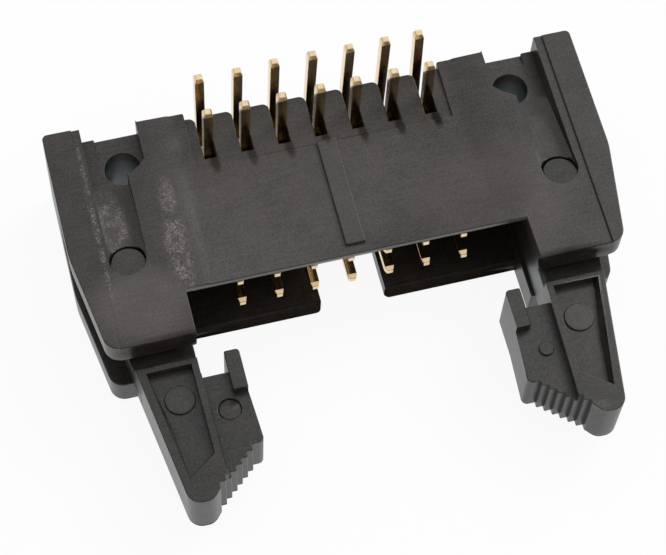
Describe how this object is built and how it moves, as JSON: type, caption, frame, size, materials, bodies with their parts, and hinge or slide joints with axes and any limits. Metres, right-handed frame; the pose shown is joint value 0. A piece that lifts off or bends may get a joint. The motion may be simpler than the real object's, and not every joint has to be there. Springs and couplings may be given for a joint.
{
  "type": "idc box header",
  "caption": "Right-angle shrouded box header with gold contacts, a keyed mating cavity and long ejector latches that swing out to release the plug",
  "frame": {"origin": "middle of the solder tail pattern, on the board seating face", "axes": "+X along the contact rows, -Y out of the mating opening, +Z from the header into the board"},
  "size_m": [0.0366, 0.0274, 0.0115],
  "materials": {
    "housing_plastic": "semi-matte black glass-filled plastic, fine moulded grain",
    "latch_plastic": "semi-matte black plastic, faint round mould marks",
    "contact_gold": "gold plating on drawn square wire, coined ends"
  },
  "bodies": {
    "base": {"housing": "housing_plastic", "contact_01": "contact_gold", "contact_02": "contact_gold", "contact_03": "contact_gold", "contact_04": "contact_gold", "contact_05": "contact_gold", "contact_06": "contact_gold", "contact_07": "contact_gold", "contact_08": "contact_gold", "contact_09": "contact_gold", "contact_10": "contact_gold", "contact_11": "contact_gold", "contact_12": "contact_gold", "contact_13": "contact_gold", "contact_14": "contact_gold"},
    "latch_left": {"latch_left": "latch_plastic"},
    "latch_right": {"latch_right": "latch_plastic"}
  },
  "joints": [
    {"name": "latch_right_pivot", "type": "hinge", "parent": "base", "child": "latch_right", "pos_m": [0.01465, -0.009, -0.00388], "axis": [0, 0, 1], "range_deg": [0, 38]},
    {"name": "latch_left_pivot", "type": "hinge", "parent": "base", "child": "latch_left", "pos_m": [-0.01465, -0.009, -0.00388], "axis": [0, 0, -1], "range_deg": [0, 38]}
  ]
}
